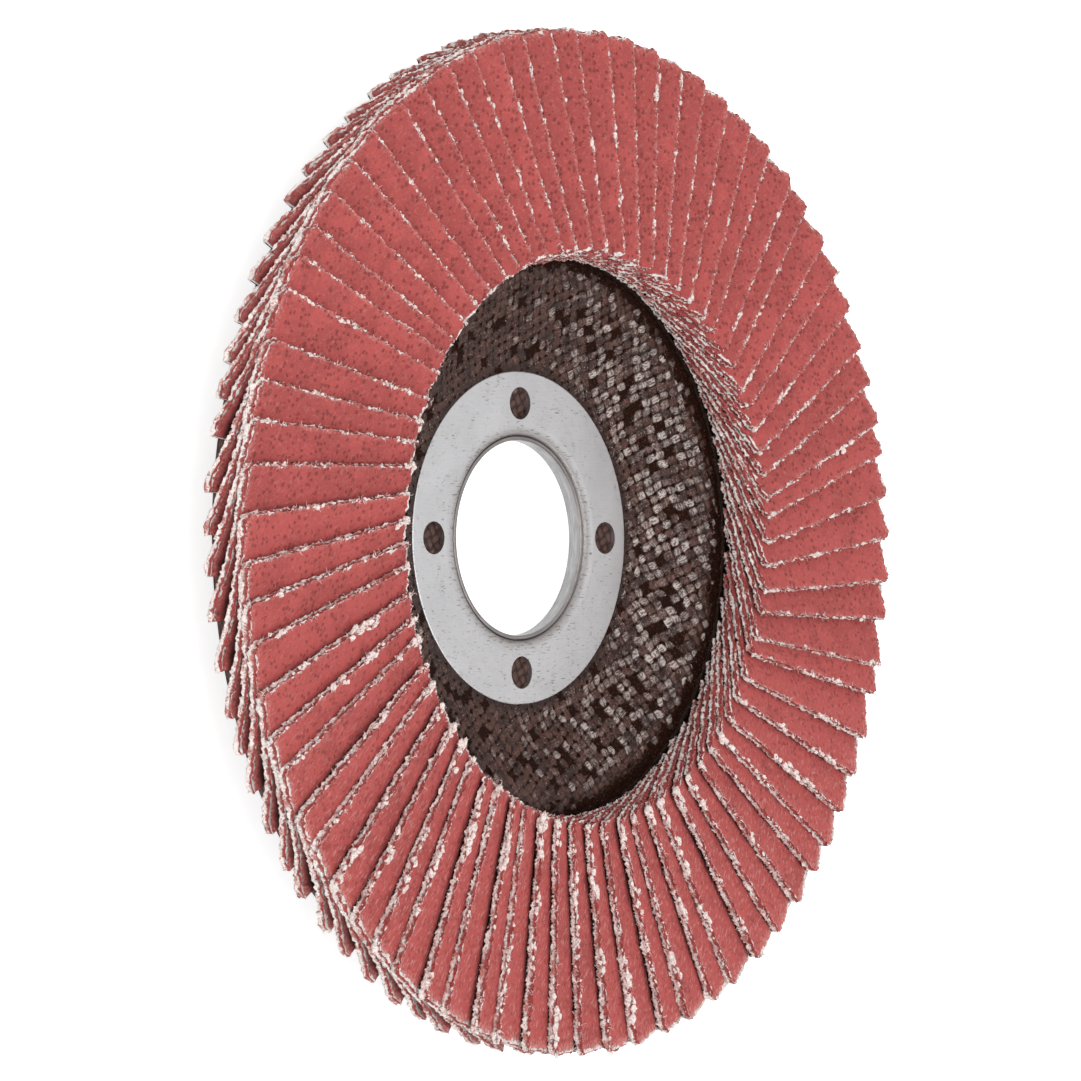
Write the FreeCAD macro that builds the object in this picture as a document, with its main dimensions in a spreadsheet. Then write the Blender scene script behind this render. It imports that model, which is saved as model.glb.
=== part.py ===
"""Flap disc for an angle grinder: shingled abrasive flaps on a depressed-hub plate.

Frame: millimetres, +Z along the bore axis from the back seat of the hub towards the flaps,
origin on the bore axis at the back seat. The disc lies on its hub with the flaps up.
"""

import FreeCAD
import Part
import Sketcher
import math
import os

doc = FreeCAD.newDocument("flap_disc")
sheet = doc.addObject("Spreadsheet::Sheet", "sizes")

# Name, value in millimetres or degrees, what the value is.
SIZES = [
    ("disc_diameter", 115.0, "over the outer corners of the flaps"),
    ("bore_diameter", 22.23, "clear bore of the sleeve"),
    ("sleeve_wall", 0.5, "wall of the sleeve"),
    ("sleeve_flange_width", 3.385, "back flange of the sleeve, beyond the wall"),
    ("sleeve_flange_thickness", 0.4, "back flange of the sleeve"),
    ("sleeve_rim_setback", 0.2, "front rim of the sleeve below the ring's face"),
    ("sleeve_back_round", 0.3, "round at the back mouth of the bore"),
    ("sleeve_rim_round", 0.14, "round at the front rim of the sleeve"),
    ("sleeve_clearance", 0.03, "air round the sleeve, in the ring and in the plate"),
    ("ring_width", 7.355, "centre ring, from its hole to its rim"),
    ("ring_thickness", 0.6, "centre ring"),
    ("ring_proud", 0.3, "face of the ring above the hub's face"),
    ("ring_hole_diameter", 3.7, "small holes in the ring"),
    ("ring_hole_count", 4, "small holes in the ring"),
    ("ring_dish_width", 1.555, "shallow fall of the ring's face towards the bore"),
    ("ring_dish_depth", 0.08, "fall of the ring's face at the bore"),
    ("ring_lip_round", 0.42, "turned inner edge of the ring"),
    ("ring_rim_round", 0.15, "outer edge of the ring"),
    ("hub_thickness", 1.8, "plate at the hub"),
    ("hub_land", 2.5, "flat front of the hub left free round the ring"),
    ("annulus_thickness", 1.5, "plate under the flaps"),
    ("annulus_rise", 4.6, "back of the annulus above the back seat"),
    ("annulus_inner_diameter", 60.0, "inner end of the flat annulus"),
    ("flap_overhang", 2.5, "flap corners beyond the plate's rim"),
    ("plate_bend_round", 2.0, "bends between hub, slope and annulus"),
    ("plate_edge_round", 0.3, "outer edge of the plate"),
    ("adhesive_film", 0.12, "adhesive between the plate and the flap ends"),
    ("adhesive_inner_gap", 0.5, "adhesive bed outside the flaps' inner corners"),
    ("adhesive_rim_gap", 1.0, "adhesive bed inside the plate's rim"),
    ("adhesive_end_gap", 0.1, "air between a ramp and the end of the flap before it"),
    ("annulus_lip", 2.5, "annulus left free inside the flaps' inner corners"),
    ("flap_span", 15.4, "width of a flap in plan"),
    ("flap_thickness", 0.91, "coated cloth"),
    ("flap_spacing_air", 0.02, "least air between neighbours, measured upright"),
    ("flap_tilt_inner", 20.66, "fall of a flap at its inner end, degrees"),
    ("flap_tilt_outer", 17.4, "mean fall of a flap at its outer end, degrees"),
    ("flap_bow", 0.31, "rise of the outer end above its chord"),
    ("first_flap_angle", 2.7, "turn of the first flap from +X, degrees"),
]

# Sizes of what seats on, or ends beside, another piece.
TIED_SIZES = [
    ("plate_diameter", "=disc_diameter - 2 * flap_overhang", "backing plate"),
    ("adhesive_outer_diameter", "=plate_diameter - 2 * adhesive_rim_gap", "adhesive bed"),
    ("flap_inner_diameter", "=annulus_inner_diameter + 2 * annulus_lip",
     "circle through the inner corners of the flaps"),
    ("adhesive_inner_diameter", "=flap_inner_diameter + 2 * adhesive_inner_gap",
     "adhesive bed"),
    ("sleeve_flange_diameter", "=bore_diameter + 2 * (sleeve_wall + sleeve_flange_width)",
     "back flange of the sleeve"),
    ("ring_inner_diameter", "=bore_diameter + 2 * (sleeve_wall + sleeve_clearance)",
     "hole of the ring and of the plate, round the sleeve"),
    ("ring_diameter", "=ring_inner_diameter + 2 * ring_width", "centre ring"),
    ("hub_flat_diameter", "=ring_diameter + 2 * hub_land", "flat front of the hub"),
    ("ring_hole_circle", "=(ring_diameter + ring_inner_diameter) / 2",
     "circle through the centres of the small holes"),
    ("ring_dish_diameter", "=ring_inner_diameter + 2 * ring_dish_width",
     "start of the shallow fall towards the bore"),
]

for row, (name, value, note) in enumerate(SIZES + TIED_SIZES, start=1):
    sheet.set("A%d" % row, name)
    sheet.set("B%d" % row, str(value))
    sheet.set("C%d" % row, note)
    sheet.setAlias("B%d" % row, name)
doc.recompute()

FLAP_NODES = 25


def number(expression):
    """Value of an expression on the sheet, as a plain number."""
    value = sheet.evalExpression(expression)
    return float(getattr(value, "Value", value))


# Radii and heights that several pieces share.
BORE_R = "sizes.bore_diameter / 2"
SLEEVE_R = "(sizes.bore_diameter / 2 + sizes.sleeve_wall)"
SLEEVE_HOLE_R = "sizes.ring_inner_diameter / 2"
FLANGE_R = "sizes.sleeve_flange_diameter / 2"
RING_R = "sizes.ring_diameter / 2"
RING_FACE_Z = "(sizes.hub_thickness + sizes.ring_proud)"
RING_SEAT_Z = "(sizes.hub_thickness + sizes.ring_proud - sizes.ring_thickness)"
PLATE_R = "sizes.plate_diameter / 2"
PLATE_FACE_Z = "(sizes.annulus_rise + sizes.annulus_thickness)"
SLOPE_RUN = "((sizes.annulus_inner_diameter - sizes.hub_flat_diameter) / 2)"
SLOPE_RISE = "(sizes.annulus_rise + sizes.annulus_thickness - sizes.hub_thickness)"
SLOPE_HALF_TAN = "tan(atan(%s / %s) / 2)" % (SLOPE_RISE, SLOPE_RUN)

# The flap pack: a flap is a rectangle in plan, its middle line on a radius of the disc.
HALF_SPAN = "sizes.flap_span / 2"
SEAT_Z = "(sizes.annulus_rise + sizes.annulus_thickness + sizes.adhesive_film)"
TAN_INNER = "tan(sizes.flap_tilt_inner * 1 deg)"
TAN_OUTER = "tan(sizes.flap_tilt_outer * 1 deg)"
UPRIGHT_INNER = "(sizes.flap_thickness / cos(sizes.flap_tilt_inner * 1 deg))"
UPRIGHT_OUTER = "(sizes.flap_thickness / cos(sizes.flap_tilt_outer * 1 deg))"
STATION_INNER = "sqrt((sizes.flap_inner_diameter / 2) ^ 2 - (%s) ^ 2)" % HALF_SPAN
STATION_OUTER = "sqrt((sizes.disc_diameter / 2) ^ 2 - (%s) ^ 2)" % HALF_SPAN

# As many flaps as fit: at the inner end neighbours lie almost on each other.
FLAP_COUNT = "floor(2 * pi * %s * %s / (%s + sizes.flap_spacing_air))" % (
    STATION_INNER, TAN_INNER, UPRIGHT_INNER)
PITCH = "(360 / %s)" % FLAP_COUNT


def origin_feature(body, role):
    """Plane or axis of a body's own origin."""
    for feature in body.Origin.OriginFeatures:
        if feature.Role == role:
            return feature
    raise RuntimeError("no origin feature " + role)


def new_body(label):
    """Empty body whose label names its file."""
    body = doc.addObject("PartDesign::Body", label)
    body.Label = label
    return body


def new_sketch(body, name, role, offset=None):
    """Sketch on one of the body's own origin planes, moved along the plane's normal."""
    sketch = body.newObject("Sketcher::SketchObject", name)
    sketch.AttachmentSupport = [(origin_feature(body, role), "")]
    sketch.MapMode = "FlatFace"
    if offset is not None:
        sketch.AttachmentOffset = FreeCAD.Placement(
            FreeCAD.Vector(0, 0, number(offset)), FreeCAD.Rotation())
        sketch.setExpression("AttachmentOffset.Base.z", offset)
    return sketch


def bind(sketch, constraint, name, expression):
    """Add a driving constraint and tie it to the sheet."""
    index = sketch.addConstraint(constraint)
    sketch.renameConstraint(index, name)
    sketch.setExpression("Constraints." + name, expression)


def pin_point(sketch, geometry, end, name, across, up):
    """Tie a point of the sketch to two expressions, measured from the sketch's origin."""
    if across == "0":
        sketch.addConstraint(Sketcher.Constraint("PointOnObject", geometry, end, -2))
    else:
        bind(sketch, Sketcher.Constraint("DistanceX", -1, 1, geometry, end, number(across)),
             name + "_across", across)
    if up == "0":
        sketch.addConstraint(Sketcher.Constraint("PointOnObject", geometry, end, -1))
    else:
        bind(sketch, Sketcher.Constraint("DistanceY", -1, 1, geometry, end, number(up)),
             name + "_up", up)


def draw_polygon(sketch, corners):
    """Closed outline of straight lines through named corners, each tied to the sheet."""
    points = [FreeCAD.Vector(number(across), number(up), 0) for name, across, up in corners]
    count = len(points)
    for index in range(count):
        sketch.addGeometry(Part.LineSegment(points[index], points[(index + 1) % count]), False)
    for index in range(count):
        following = (index + 1) % count
        sketch.addConstraint(Sketcher.Constraint("Coincident", index, 2, following, 1))
    for index, (name, across, up) in enumerate(corners):
        pin_point(sketch, index, 1, name, across, up)


def revolve(body, sketch, name):
    """Turn a profile once round the bore axis."""
    feature = body.newObject("PartDesign::Revolution", name)
    feature.Profile = sketch
    feature.ReferenceAxis = (sketch, ["V_Axis"])
    feature.Angle = 360
    body.Tip = feature
    doc.recompute()
    return feature


def round_circles(body, base, name, circles, size):
    """Fillet the circular edges at the given radii and heights."""
    edges = []
    for radius, height in circles:
        wanted_radius = number(radius)
        wanted_height = number(height)
        for index, edge in enumerate(base.Shape.Edges, start=1):
            if not isinstance(edge.Curve, Part.Circle):
                continue
            same_radius = abs(edge.Curve.Radius - wanted_radius) < 1e-4
            if same_radius and abs(edge.Curve.Center.z - wanted_height) < 1e-4:
                edges.append("Edge%d" % index)
    if len(edges) != len(circles):
        raise RuntimeError("%s: found %d of %d edges" % (name, len(edges), len(circles)))
    feature = body.newObject("PartDesign::Fillet", name)
    feature.Base = (base, edges)
    feature.Radius = number(size)
    feature.setExpression("Radius", size)
    body.Tip = feature
    doc.recompute()
    return feature


def make_backing_plate():
    """Moulded plate: flat hub with the ring's and the flange's recess, slope, flat annulus."""
    body = new_body("backing_plate")
    sketch = new_sketch(body, "plate_profile", "XZ_Plane")
    recess_r = "(sizes.sleeve_flange_diameter / 2 + sizes.sleeve_clearance)"
    ring_recess_r = "(sizes.ring_diameter / 2 + sizes.sleeve_clearance)"
    hub_back_r = "(sizes.hub_flat_diameter / 2 + sizes.hub_thickness * %s)" % SLOPE_HALF_TAN
    annulus_back_r = "(sizes.annulus_inner_diameter / 2 + sizes.annulus_thickness * %s)" % (
        SLOPE_HALF_TAN)
    hub_r = "sizes.hub_flat_diameter / 2"
    annulus_r = "sizes.annulus_inner_diameter / 2"
    draw_polygon(sketch, [
        ("bore_back", SLEEVE_HOLE_R, "sizes.sleeve_flange_thickness"),
        ("flange_recess_floor", recess_r, "sizes.sleeve_flange_thickness"),
        ("flange_recess_mouth", recess_r, "0"),
        ("hub_back", hub_back_r, "0"),
        ("annulus_back", annulus_back_r, "sizes.annulus_rise"),
        ("rim_back", PLATE_R, "sizes.annulus_rise"),
        ("rim_front", PLATE_R, PLATE_FACE_Z),
        ("annulus_front", annulus_r, PLATE_FACE_Z),
        ("hub_front", hub_r, "sizes.hub_thickness"),
        ("ring_recess_mouth", ring_recess_r, "sizes.hub_thickness"),
        ("ring_recess_floor", ring_recess_r, RING_SEAT_Z),
        ("bore_front", SLEEVE_HOLE_R, RING_SEAT_Z),
    ])
    turned = revolve(body, sketch, "plate_turned")
    bends = round_circles(body, turned, "plate_bends", [
        (hub_r, "sizes.hub_thickness"),
        (annulus_r, PLATE_FACE_Z),
        (hub_back_r, "0 * sizes.hub_thickness"),
        (annulus_back_r, "sizes.annulus_rise"),
    ], "sizes.plate_bend_round")
    round_circles(body, bends, "plate_rim", [
        (PLATE_R, "sizes.annulus_rise"),
        (PLATE_R, PLATE_FACE_Z),
    ], "sizes.plate_edge_round")
    return body


def make_centre_ring():
    """Stamped ring: rounded rim, face that falls to a turned inner edge, small holes."""
    body = new_body("centre_ring")
    sketch = new_sketch(body, "ring_profile", "XZ_Plane")
    lip_z = "(sizes.hub_thickness + sizes.ring_proud - sizes.ring_dish_depth)"
    draw_polygon(sketch, [
        ("back_inner", SLEEVE_HOLE_R, RING_SEAT_Z),
        ("back_outer", RING_R, RING_SEAT_Z),
        ("face_outer", RING_R, RING_FACE_Z),
        ("face_dish", "sizes.ring_dish_diameter / 2", RING_FACE_Z),
        ("lip", SLEEVE_HOLE_R, lip_z),
    ])
    turned = revolve(body, sketch, "ring_turned")
    lip = round_circles(body, turned, "ring_lip", [(SLEEVE_HOLE_R, lip_z)],
                        "sizes.ring_lip_round")
    rim = round_circles(body, lip, "ring_rim", [(RING_R, RING_FACE_Z)],
                        "sizes.ring_rim_round")

    hole = new_sketch(body, "ring_hole", "XY_Plane")
    centre = FreeCAD.Vector(number("sizes.ring_hole_circle / 2"), 0, 0)
    radius = number("sizes.ring_hole_diameter / 2")
    hole.addGeometry(Part.Circle(centre, FreeCAD.Vector(0, 0, 1), radius), False)
    bind(hole, Sketcher.Constraint("DistanceX", -1, 1, 0, 3, centre.x), "hole_across",
         "sizes.ring_hole_circle / 2")
    hole.addConstraint(Sketcher.Constraint("PointOnObject", 0, 3, -1))
    bind(hole, Sketcher.Constraint("Radius", 0, radius), "hole_radius",
         "sizes.ring_hole_diameter / 2")
    pocket = body.newObject("PartDesign::Pocket", "ring_hole_cut")
    pocket.Profile = hole
    pocket.Type = "ThroughAll"
    pocket.Reversed = True
    body.Tip = pocket
    doc.recompute()
    if pocket.Shape.Volume >= rim.Shape.Volume:
        raise RuntimeError("the ring's hole cuts nothing")
    pattern = body.newObject("PartDesign::PolarPattern", "ring_holes")
    pattern.Originals = [pocket]
    pattern.Axis = (origin_feature(body, "Z_Axis"), [""])
    pattern.Angle = 360
    pattern.setExpression("Occurrences", "sizes.ring_hole_count")
    body.Tip = pattern
    doc.recompute()
    return body


def make_bore_sleeve():
    """Thin tube with a back flange, its rim just below the ring's face."""
    body = new_body("bore_sleeve")
    sketch = new_sketch(body, "sleeve_profile", "XZ_Plane")
    rim_z = "(sizes.hub_thickness + sizes.ring_proud - sizes.sleeve_rim_setback)"
    draw_polygon(sketch, [
        ("mouth_back", BORE_R, "0"),
        ("flange_back", FLANGE_R, "0"),
        ("flange_front", FLANGE_R, "sizes.sleeve_flange_thickness"),
        ("neck", SLEEVE_R, "sizes.sleeve_flange_thickness"),
        ("rim_outer", SLEEVE_R, rim_z),
        ("rim_inner", BORE_R, rim_z),
    ])
    turned = revolve(body, sketch, "sleeve_turned")
    mouth = round_circles(body, turned, "sleeve_mouth",
                          [(BORE_R, "0 * sizes.hub_thickness")], "sizes.sleeve_back_round")
    round_circles(body, mouth, "sleeve_rim", [(BORE_R, rim_z), (SLEEVE_R, rim_z)],
                  "sizes.sleeve_rim_round")
    return body


def draw_flap_section(sketch, tan_tilt, upright, bowed):
    """Upright section of a flap across its width, its lower end on the adhesive film.

    The long edge that shows on the face is at minus half the span, the bedded edge at plus
    half the span. The inner end is straight, the outer end is bowed upwards.
    """
    low_top = "(%s + %s)" % (SEAT_Z, upright)
    high_top = "(%s + %s + sizes.flap_span * %s)" % (SEAT_Z, upright, tan_tilt)
    high_under = "(%s + sizes.flap_span * %s)" % (SEAT_Z, tan_tilt)
    face_edge = "-(%s)" % HALF_SPAN
    high_1 = FreeCAD.Vector(number(face_edge), number(high_top), 0)
    high_0 = FreeCAD.Vector(number(face_edge), number(high_under), 0)
    low_0 = FreeCAD.Vector(number(HALF_SPAN), number(SEAT_Z), 0)
    low_1 = FreeCAD.Vector(number(HALF_SPAN), number(low_top), 0)
    sketch.addGeometry(Part.LineSegment(high_1, high_0), False)
    sketch.addGeometry(Part.LineSegment(low_0, low_1), False)
    pin_point(sketch, 0, 1, "face_top", face_edge, high_top)
    pin_point(sketch, 0, 2, "face_under", face_edge, high_under)
    pin_point(sketch, 1, 1, "bedded_under", HALF_SPAN, SEAT_Z)
    pin_point(sketch, 1, 2, "bedded_top", HALF_SPAN, low_top)
    if not bowed:
        sketch.addGeometry(Part.LineSegment(high_0, low_0), False)
        sketch.addGeometry(Part.LineSegment(low_1, high_1), False)
        sketch.addConstraint(Sketcher.Constraint("Coincident", 0, 2, 2, 1))
        sketch.addConstraint(Sketcher.Constraint("Coincident", 2, 2, 1, 1))
        sketch.addConstraint(Sketcher.Constraint("Coincident", 1, 2, 3, 1))
        sketch.addConstraint(Sketcher.Constraint("Coincident", 3, 2, 0, 1))
        return
    chord_squared = "(sizes.flap_span / cos(sizes.flap_tilt_outer * 1 deg)) ^ 2"
    bow_radius = "(%s / (8 * sizes.flap_bow) + sizes.flap_bow / 2)" % chord_squared
    radius = number(bow_radius)
    for start, finish in ((low_0, high_0), (low_1, high_1)):
        middle = (start + finish) * 0.5
        along = finish - start
        half = along.Length / 2
        upward = FreeCAD.Vector(along.y, -along.x, 0)
        upward.normalize()
        centre = middle - upward * math.sqrt(radius ** 2 - half ** 2)
        circle = Part.Circle(centre, FreeCAD.Vector(0, 0, 1), radius)
        first = math.atan2(start.y - centre.y, start.x - centre.x)
        last = math.atan2(finish.y - centre.y, finish.x - centre.x)
        sketch.addGeometry(Part.ArcOfCircle(circle, first, last), False)
    sketch.addConstraint(Sketcher.Constraint("Coincident", 2, 1, 1, 1))
    sketch.addConstraint(Sketcher.Constraint("Coincident", 2, 2, 0, 2))
    sketch.addConstraint(Sketcher.Constraint("Coincident", 3, 1, 1, 2))
    sketch.addConstraint(Sketcher.Constraint("Coincident", 3, 2, 0, 1))
    bind(sketch, Sketcher.Constraint("Radius", 2, radius), "under_bow", bow_radius)
    bind(sketch, Sketcher.Constraint("Radius", 3, radius), "top_bow", bow_radius)


def loft_between(body, name, inner, outer):
    """Ruled solid between two sections with the same number of sides."""
    feature = body.newObject("PartDesign::AdditiveLoft", name)
    feature.Profile = inner
    feature.Sections = [outer]
    feature.Ruled = True
    body.Tip = feature
    return feature


def turn_body(body, angle):
    """Turn a body round the bore axis by an angle in degrees that follows the sheet."""
    body.Placement = FreeCAD.Placement(
        FreeCAD.Vector(0, 0, 0), FreeCAD.Rotation(FreeCAD.Vector(0, 0, 1), number(angle)))
    body.setExpression("Placement.Rotation.Angle", angle)


def make_adhesive_bed():
    """Cured adhesive: a flat film with one ramp under the lower end of every flap."""
    body = new_body("adhesive_bed")
    film = new_sketch(body, "film_profile", "XZ_Plane")
    inner_r = "sizes.adhesive_inner_diameter / 2"
    outer_r = "sizes.adhesive_outer_diameter / 2"
    draw_polygon(film, [
        ("inner_low", inner_r, PLATE_FACE_Z),
        ("outer_low", outer_r, PLATE_FACE_Z),
        ("outer_high", outer_r, SEAT_Z),
        ("inner_high", inner_r, SEAT_Z),
    ])
    revolve(body, film, "film")

    inner_x = "sizes.adhesive_inner_diameter / 2"
    outer_x = "sqrt((sizes.adhesive_outer_diameter / 2) ^ 2 - (%s) ^ 2)" % HALF_SPAN
    sections = []
    for name, station in (("ramp_inner", inner_x), ("ramp_outer", outer_x)):
        share = "((%s - %s) / (%s - %s))" % (station, STATION_INNER, STATION_OUTER,
                                             STATION_INNER)
        # The ramp ends at the bedded edge of the flap before it, one pitch round.
        back = "((%s - %s * sin(%s * 1 deg)) / cos(%s * 1 deg) + sizes.adhesive_end_gap)" % (
            HALF_SPAN, station, PITCH, PITCH)
        fall = "(%s * (1 - %s) + %s * %s)" % (TAN_INNER, share, TAN_OUTER, share)
        high = "(%s + (%s - %s) * %s)" % (SEAT_Z, HALF_SPAN, back, fall)
        section = new_sketch(body, name, "YZ_Plane", station)
        draw_polygon(section, [
            ("end_low", HALF_SPAN, PLATE_FACE_Z),
            ("end_high", HALF_SPAN, SEAT_Z),
            ("back_high", back, high),
            ("back_low", back, PLATE_FACE_Z),
        ])
        sections.append(section)
    ramp = loft_between(body, "ramp", sections[0], sections[1])
    doc.recompute()
    pattern = body.newObject("PartDesign::PolarPattern", "ramps")
    pattern.Originals = [ramp]
    pattern.Axis = (origin_feature(body, "Z_Axis"), [""])
    pattern.Angle = 360
    pattern.setExpression("Occurrences", FLAP_COUNT)
    body.Tip = pattern
    turn_body(body, "sizes.first_flap_angle")
    doc.recompute()
    return body


def make_flap_node(index):
    """A few neighbouring flaps, each its own solid, turned to their place in the ring."""
    body = new_body("flaps_%02d" % (index + 1))
    body.AllowCompound = True
    inner = new_sketch(body, "inner_end", "YZ_Plane", STATION_INNER)
    draw_flap_section(inner, TAN_INNER, UPRIGHT_INNER, False)
    outer = new_sketch(body, "outer_end", "YZ_Plane", STATION_OUTER)
    draw_flap_section(outer, TAN_OUTER, UPRIGHT_OUTER, True)
    flap = loft_between(body, "flap", inner, outer)
    doc.recompute()
    first = "floor(%d * %s / %d)" % (index, FLAP_COUNT, FLAP_NODES)
    after = "floor(%d * %s / %d)" % (index + 1, FLAP_COUNT, FLAP_NODES)
    pattern = body.newObject("PartDesign::PolarPattern", "flap_row")
    pattern.Originals = [flap]
    pattern.Axis = (origin_feature(body, "Z_Axis"), [""])
    pattern.Mode = "Spacing"
    pattern.setExpression("Offset", PITCH)
    pattern.setExpression("Occurrences", "%s - %s" % (after, first))
    body.Tip = pattern
    turn_body(body, "sizes.first_flap_angle + %s * %s" % (first, PITCH))
    return body


pieces = [make_backing_plate(), make_centre_ring(), make_bore_sleeve(), make_adhesive_bed()]
for node in range(FLAP_NODES):
    pieces.append(make_flap_node(node))
doc.recompute()

for item in doc.Objects:
    if "Invalid" in item.State or "Error" in item.State:
        raise RuntimeError("failed feature: " + item.Label)
for piece in pieces:
    if piece.Shape.isNull() or not piece.Shape.isValid():
        raise RuntimeError("bad shape: " + piece.Label)

os.makedirs("parts", exist_ok=True)
for piece in pieces:
    piece.Shape.exportStep(os.path.join("parts", piece.Label + ".step"))
    print(piece.Label, len(piece.Shape.Solids), round(piece.Shape.Volume, 2))
print("flaps", int(number(FLAP_COUNT)), "face height",
      round(number("%s + %s + sizes.flap_span * %s" % (SEAT_Z, UPRIGHT_INNER, TAN_INNER)), 3))
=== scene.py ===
"""Looks of a flap disc: coated cloth flaps with frayed edges on a woven plate, steel centre."""

import math
import random

import bpy
import numpy as np
from bpy.props import FloatProperty, FloatVectorProperty, IntProperty, PointerProperty
from mathutils import Matrix, Vector


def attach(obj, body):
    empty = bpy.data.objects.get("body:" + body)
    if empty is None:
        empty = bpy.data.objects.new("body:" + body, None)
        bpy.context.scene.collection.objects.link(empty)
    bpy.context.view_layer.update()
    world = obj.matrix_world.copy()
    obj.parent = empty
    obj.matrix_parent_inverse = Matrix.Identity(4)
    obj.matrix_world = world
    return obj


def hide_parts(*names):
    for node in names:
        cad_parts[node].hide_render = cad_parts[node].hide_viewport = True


bl_info = {
    "name": "Flap disc",
    "version": (1, 0, 0),
    "blender": (4, 5, 0),
    "location": "View3D > Sidebar > Flap disc",
    "description": "Dresses the flap disc: abrasive flaps, woven plate, steel centre and stage",
    "category": "Object",
}

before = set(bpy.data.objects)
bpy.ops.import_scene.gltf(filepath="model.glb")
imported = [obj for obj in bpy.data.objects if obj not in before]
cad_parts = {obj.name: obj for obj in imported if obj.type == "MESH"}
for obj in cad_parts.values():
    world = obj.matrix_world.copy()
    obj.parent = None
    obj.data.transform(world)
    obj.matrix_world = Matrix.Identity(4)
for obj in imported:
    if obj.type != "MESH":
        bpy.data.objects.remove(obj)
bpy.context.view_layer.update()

MM = 0.001

# The flap pack, as it is built: lengths in millimetres, angles in degrees. A flap falls across
# its span, and the upright thickness of the cloth is measured straight down.
FLAP_COUNT = 75
FLAP_NODES = 25
FIRST_TURN = 2.7
INNER_END = 31.575
OUTER_END = 56.982
FLAP_LENGTH = OUTER_END - INNER_END
HALF_SPAN = 7.7
FLAP_SPAN = 2 * HALF_SPAN
CUT_EDGE = -HALF_SPAN
SEAT_HEIGHT = 6.22
TAN_INNER = math.tan(math.radians(20.66))
TAN_OUTER = math.tan(math.radians(17.4))
UPRIGHT_INNER = 0.9725
UPRIGHT_OUTER = 0.9536
BOW = 0.31


# ---------------------------------------------------------------------------
# Settings that a user may change
# ---------------------------------------------------------------------------

def colour_setting(name, description, default):
    return FloatVectorProperty(name=name, description=description, default=default,
                               subtype="COLOR", size=3, min=0.0, max=1.0)


def length_setting(name, description, default):
    return FloatProperty(name=name, description=description, default=default * MM,
                         min=0.0, unit="LENGTH", subtype="DISTANCE", precision=5)


def count_setting(name, description, default, most):
    return IntProperty(name=name, description=description, default=default, min=0, max=most)


class FlapSettings(bpy.types.PropertyGroup):
    """Abrasive flaps."""
    grain: colour_setting("Grain", "Red of the abrasive face", (0.455, 0.086, 0.080))
    # Colour of the painted shade in the pits.
    shaded_pit: colour_setting("Pits", "Small dark pits in the face", (0.200, 0.038, 0.035))
    fibre: colour_setting("Fibres", "Pale cloth fibres at the cut edges", (0.95, 0.85, 0.81))
    # Colour of the cloth back, painted dark as the shade in the gap under each cut edge.
    shaded_cloth_back: colour_setting("Cloth back", "Impregnated back of the cloth",
                               (0.085, 0.035, 0.028))
    # Colour of the painted shade under each cut edge and in the cut walls.
    crevice_shade: colour_setting("Crevice", "Dark gap under each cut edge", (0.012, 0.005, 0.003))
    fray: length_setting("Fray", "How far the cut edges fray", 0.42)
    lift: length_setting("Lift", "Gap under the cut edges", 0.05)
    tail: length_setting("Tail", "Flat tail of each flap past the rim of the plate", 1.3)
    spread: FloatProperty(name="Spread", description="Unevenness of the spacing of the flaps",
                          default=math.radians(0.34), min=0.0, subtype="ANGLE")
    tufts: count_setting("Tufts", "Tufts of fibre along each cut edge", 3, 12)
    crumbs: count_setting("Crumbs", "Single crumbs of fibre along each cut edge", 9, 30)
    hairs: count_setting("Hairs", "Loose fibres along the edges of each flap", 84, 200)
    seed: IntProperty(name="Seed", description="Start of the random draws", default=41)


class PlateSettings(bpy.types.PropertyGroup):
    """Backing plate of glass cloth in resin."""
    resin: colour_setting("Resin", "Dark resin between the yarns", (0.014, 0.0040, 0.0018))
    soaked: colour_setting("Soaked yarn", "Yarn soaked with resin", (0.080, 0.032, 0.023))
    yarn: colour_setting("Bare yarn", "Glass yarn that shows through", (0.500, 0.435, 0.405))
    pitch: length_setting("Yarn pitch", "Distance between the yarns", 1.12)
    relief: length_setting("Relief", "Rise of a yarn over the crossing one", 0.15)
    turn: FloatProperty(name="Yarn direction", description="Turn of the cloth on the plate",
                        default=math.radians(26.0), subtype="ANGLE")


class SteelSettings(bpy.types.PropertyGroup):
    """Centre ring and bore sleeve."""
    steel: colour_setting("Steel", "Rolled steel of the ring and the sleeve", (0.57, 0.565, 0.575))
    # Colour of the dirt on the ring and of the painted shade on its lip round the bore; the sleeve
    # is darkened with it too.
    dirt_and_shade: colour_setting("Stain", "Rubbed-in dirt on the ring", (0.20, 0.17, 0.155))


class AdhesiveSettings(bpy.types.PropertyGroup):
    """Adhesive between plate and flaps."""
    adhesive: colour_setting("Adhesive", "Cured adhesive", (0.014, 0.008, 0.005))
    bead: length_setting("Bead", "Adhesive squeezed out at the foot of the flaps", 0.34)


class StageSettings(bpy.types.PropertyGroup):
    """Floor, light and camera."""
    floor: colour_setting("Floor", "Pale floor", (0.86, 0.86, 0.86))
    ambient: FloatProperty(name="Ambient", description="Strength of the light all round",
                           default=0.86, min=0.0)
    lamps: FloatProperty(name="Lamps", description="Share of the lamps' power",
                         default=1.0, min=0.0)
    lens: FloatProperty(name="Lens", description="Focal length of the camera",
                        default=196.56, unit="CAMERA")


SETTINGS = {
    "flap_disc_flaps": FlapSettings,
    "flap_disc_plate": PlateSettings,
    "flap_disc_steel": SteelSettings,
    "flap_disc_adhesive": AdhesiveSettings,
    "flap_disc_stage": StageSettings,
}


# ---------------------------------------------------------------------------
# Modelling helpers
# ---------------------------------------------------------------------------

def deselect():
    """Nothing selected, object mode."""
    if bpy.context.mode != "OBJECT":
        bpy.ops.object.mode_set(mode="OBJECT")
    bpy.ops.object.select_all(action="DESELECT")


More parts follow.
